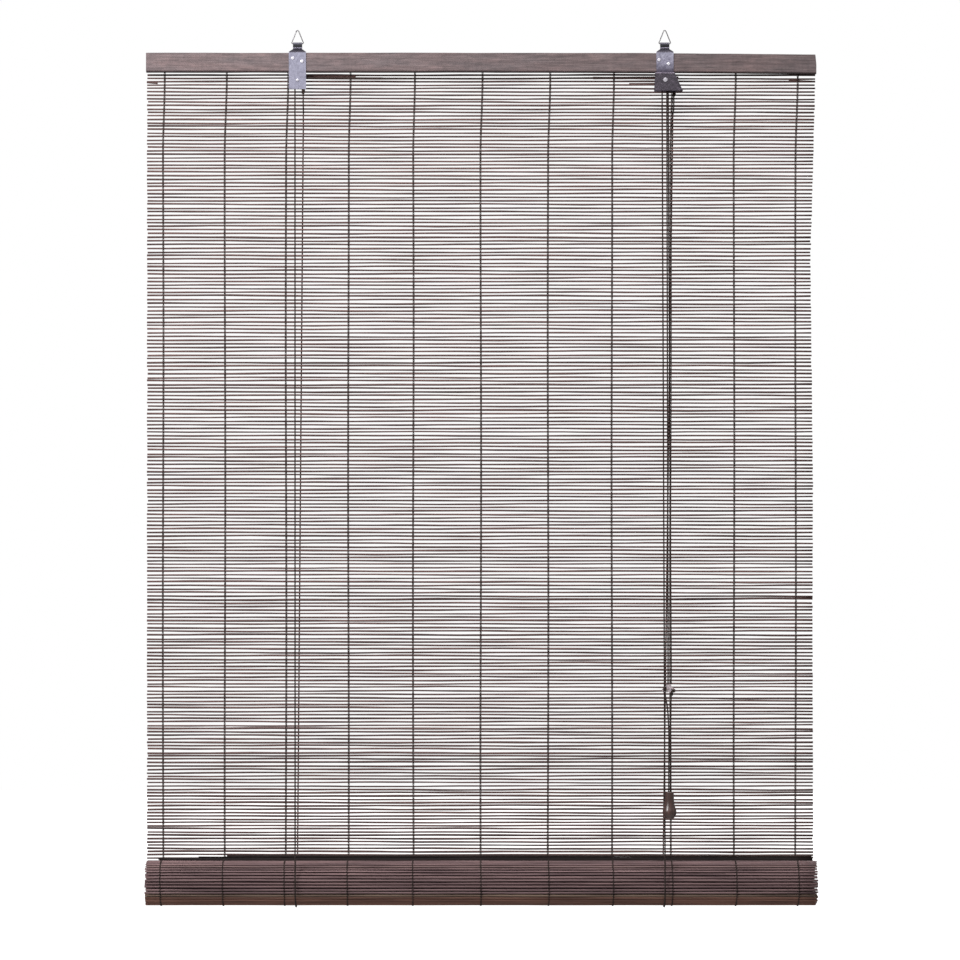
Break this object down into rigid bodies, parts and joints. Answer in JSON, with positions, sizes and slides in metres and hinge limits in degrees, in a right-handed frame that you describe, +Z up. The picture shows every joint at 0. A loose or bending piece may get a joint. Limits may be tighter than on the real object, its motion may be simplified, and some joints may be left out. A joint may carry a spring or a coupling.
{
  "type": "bamboo roll up blind",
  "caption": "Roll-up blind of thin dark bamboo slats woven on threads under a wooden head rail, with steel hanging brackets, lift cords, a cord lock and a wooden acorn pull.",
  "frame": {"origin": "on the hanging line, midway between the two hanging rings, where the hooks bear", "axes": "+X along the head rail to the side with the cord lock, +Y from the room towards the wall, +Z up"},
  "size_m": [0.8, 0.0761, 1.0469],
  "materials": {
    "rail_wood": "weathered, matt",
    "bracket_steel": "galvanised sheet",
    "housing_steel": "dark, speckled",
    "wire": "drawn wire",
    "fastener_steel": "plain",
    "wheel_steel": "turned",
    "slat_bamboo": "stained, dull",
    "thread": "cotton",
    "bar_wood": "stained",
    "cord": "laid cord",
    "connector_plastic": "translucent",
    "acorn_wood": "varnished"
  },
  "bodies": {
    "head": {"head_rail": "rail_wood", "left_bracket": "bracket_steel", "right_bracket": "bracket_steel", "lock_housing": "housing_steel", "left_bracket_nails": "fastener_steel", "right_bracket_nails": "fastener_steel", "left_pulley_pin": "fastener_steel", "guide_roller_pin": "fastener_steel", "left_pulley_cheek": "bracket_steel", "cheek_screw": "fastener_steel", "mat_slats": "slat_bamboo", "warp_thread_01": "thread", "warp_thread_02": "thread", "warp_thread_03": "thread", "warp_thread_04": "thread", "warp_thread_05": "thread", "warp_thread_06": "thread", "warp_thread_07": "thread", "warp_thread_08": "thread", "warp_thread_09": "thread", "warp_thread_10": "thread", "warp_thread_11": "thread", "mat_staples": "wire", "left_lift_cord_front": "cord", "left_lift_cord_back": "cord", "right_lift_cord_front": "cord", "right_lift_cord_back": "cord", "transfer_cord": "cord", "right_cord_turn": "cord", "left_cord_knot": "cord", "right_cord_knot": "cord", "pull_cord_a": "cord", "pull_cord_b": "cord"},
    "left_ring": {"left_hanging_ring": "wire"},
    "right_ring": {"right_hanging_ring": "wire"},
    "left_wheel": {"left_pulley": "wheel_steel"},
    "guide_wheel": {"guide_roller": "wheel_steel"},
    "lock_axle": {"lock_pin": "fastener_steel"},
    "lock_wheel": {"lock_roller": "wheel_steel"},
    "lift": {"left_lift_cord_loop": "cord", "right_lift_cord_loop": "cord"},
    "roll": {"rolled_mat": "slat_bamboo", "bottom_bar": "bar_wood"},
    "pull": {"pull_connector": "connector_plastic", "connector_knot": "cord", "pull_tail_a": "cord", "pull_tail_b": "cord", "acorn": "acorn_wood", "acorn_knot": "cord"}
  },
  "joints": [
    {"name": "left_ring_swing", "type": "hinge", "parent": "head", "child": "left_ring", "pos_m": [-0.2193, 0, -0.015], "axis": [1, 0, 0], "range_deg": [-85, 85]},
    {"name": "right_ring_swing", "type": "hinge", "parent": "head", "child": "right_ring", "pos_m": [0.2193, 0, -0.015], "axis": [1, 0, 0], "range_deg": [-85, 85]},
    {"name": "roll_lift", "type": "slide", "parent": "head", "child": "lift", "axis": [0, 0, 1], "range_m": [0, 0.864], "deforming": ["mat_slats", "warp_thread_01", "warp_thread_02", "warp_thread_03", "warp_thread_04", "warp_thread_05", "warp_thread_06", "warp_thread_07", "warp_thread_08", "warp_thread_09", "warp_thread_10", "warp_thread_11", "left_lift_cord_front", "right_lift_cord_front", "left_lift_cord_back", "right_lift_cord_back"]},
    {"name": "roll_spin", "type": "hinge", "parent": "lift", "child": "roll", "pos_m": [0, -0.0198, -1.015], "axis": [1, 0, 0], "range_deg": [-1801, 0]},
    {"name": "pull_drop", "type": "slide", "parent": "head", "child": "pull", "axis": [0, 0, -1], "range_m": [0, 1.728], "deforming": ["pull_cord_a", "pull_cord_b"]},
    {"name": "left_pulley_spin", "type": "hinge", "parent": "head", "child": "left_wheel", "pos_m": [-0.2193, -0.0028, -0.059], "axis": [0, 1, 0], "continuous": true},
    {"name": "guide_roller_spin", "type": "hinge", "parent": "head", "child": "guide_wheel", "pos_m": [0.2193, -0.0129, -0.06], "axis": [0, 1, 0], "continuous": true},
    {"name": "lock_slide", "type": "slide", "parent": "head", "child": "lock_axle", "axis": [0.4154, 0, -0.9097], "range_m": [0, 0.006]},
    {"name": "lock_roller_spin", "type": "hinge", "parent": "lock_axle", "child": "lock_wheel", "pos_m": [0.2283, -0.0129, -0.062], "axis": [0, 1, 0], "continuous": true}
  ],
  "couplings": [
    {"joint": "roll_spin", "follows": "roll_lift", "rad_per_m": -36.361},
    {"joint": "pull_drop", "follows": "roll_lift", "ratio": 2},
    {"joint": "left_pulley_spin", "follows": "roll_lift", "rad_per_m": 666.67},
    {"joint": "guide_roller_spin", "follows": "roll_lift", "rad_per_m": 540.54}
  ]
}
